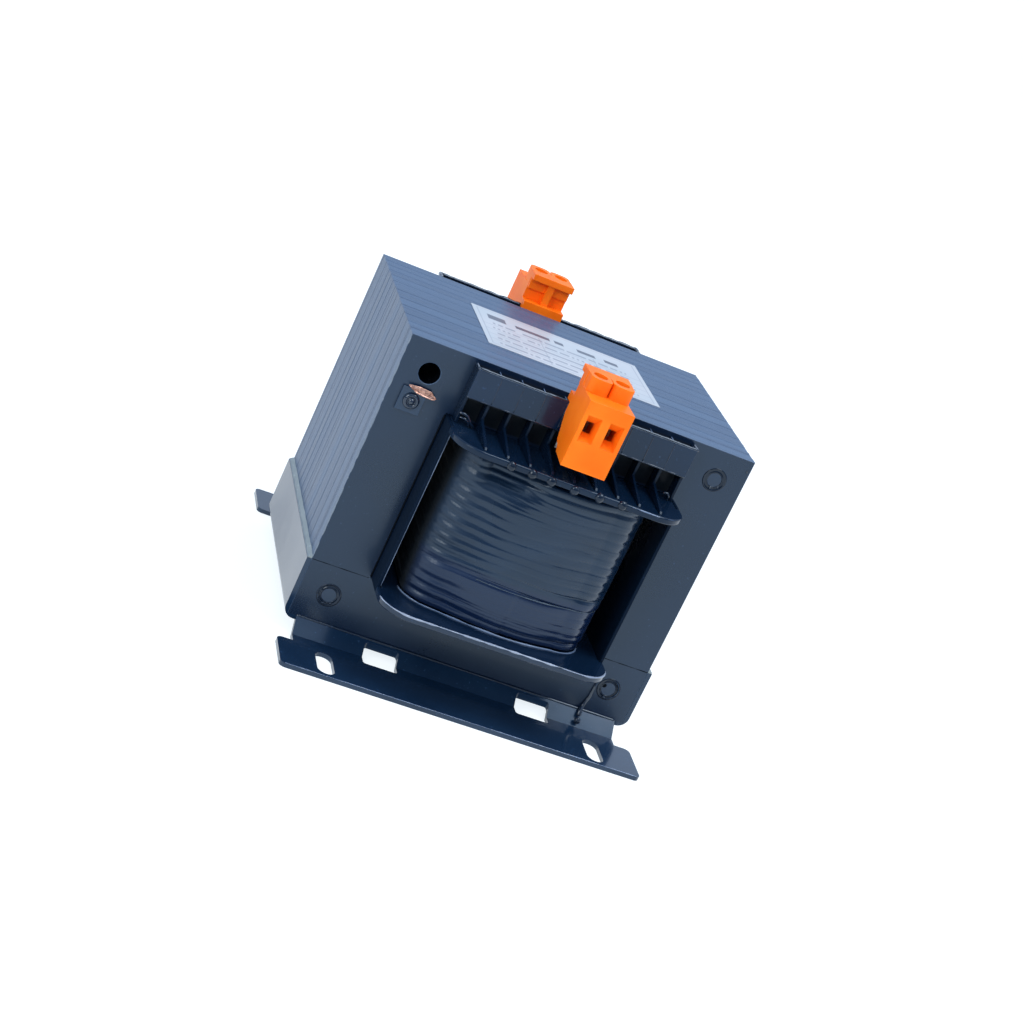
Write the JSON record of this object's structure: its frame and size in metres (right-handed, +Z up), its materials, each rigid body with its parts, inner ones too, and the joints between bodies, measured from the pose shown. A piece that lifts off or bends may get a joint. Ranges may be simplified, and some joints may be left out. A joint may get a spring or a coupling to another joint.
{
  "type": "open-frame mains transformer",
  "caption": "Open-frame mains transformer with a laminated EI core, varnished winding on a flanged former, clip-on screw terminals and a slotted sheet-steel mounting saddle",
  "frame": {"origin": "centre of the mounting surface under the two foot flanges", "axes": "+Z up, -Y towards the front side, whose terminals face the user, +X to the right seen from the front"},
  "size_m": [0.125, 0.137, 0.1177],
  "materials": {
    "varnished_laminations": "thin slate-blue varnish over silicon steel",
    "varnished_steel": "glossy dark blue dip varnish",
    "varnished_former": "glass-filled nylon under glossy dark blue varnish",
    "varnished_winding": "enamelled wire under thick glossy dark blue varnish",
    "copper_winding": "enamelled copper wire",
    "insulation": "insulating film and paper",
    "terminal_plastic": "satin orange moulded plastic",
    "plated_metal": "zinc plated steel",
    "copper_tab": "bare torn copper foil",
    "label": "satin white film label"
  },
  "bodies": {
    "root": {"e_stack": "varnished_laminations", "i_stack": "varnished_laminations", "base_saddle": "varnished_steel", "bobbin_tube": "varnished_former", "bobbin_top_flange": "varnished_former", "bobbin_bottom_flange": "varnished_former", "left_side_wall": "varnished_former", "right_side_wall": "varnished_former", "front_terminal_rail": "varnished_former", "rear_terminal_rail": "varnished_former", "front_rail_dividers": "varnished_former", "rear_rail_dividers": "varnished_former", "front_flange_ribs": "varnished_former", "rear_flange_ribs": "varnished_former", "primary_winding": "copper_winding", "interwinding_insulation": "insulation", "secondary_winding": "varnished_winding", "front_terminal_housing": "terminal_plastic", "rear_terminal_housing": "terminal_plastic", "front_left_clamp_screw": "plated_metal", "front_right_clamp_screw": "plated_metal", "rear_left_clamp_screw": "plated_metal", "rear_right_clamp_screw": "plated_metal", "front_clamp_cages": "plated_metal", "rear_clamp_cages": "plated_metal", "front_solder_tags": "plated_metal", "rear_solder_tags": "plated_metal", "rod_top_right": "varnished_steel", "rod_bottom_left": "varnished_steel", "rod_bottom_right": "varnished_steel", "earth_washer": "varnished_steel", "earth_screw": "plated_metal", "earth_tab": "copper_tab", "rating_label": "label"}
  },
  "joints": []
}
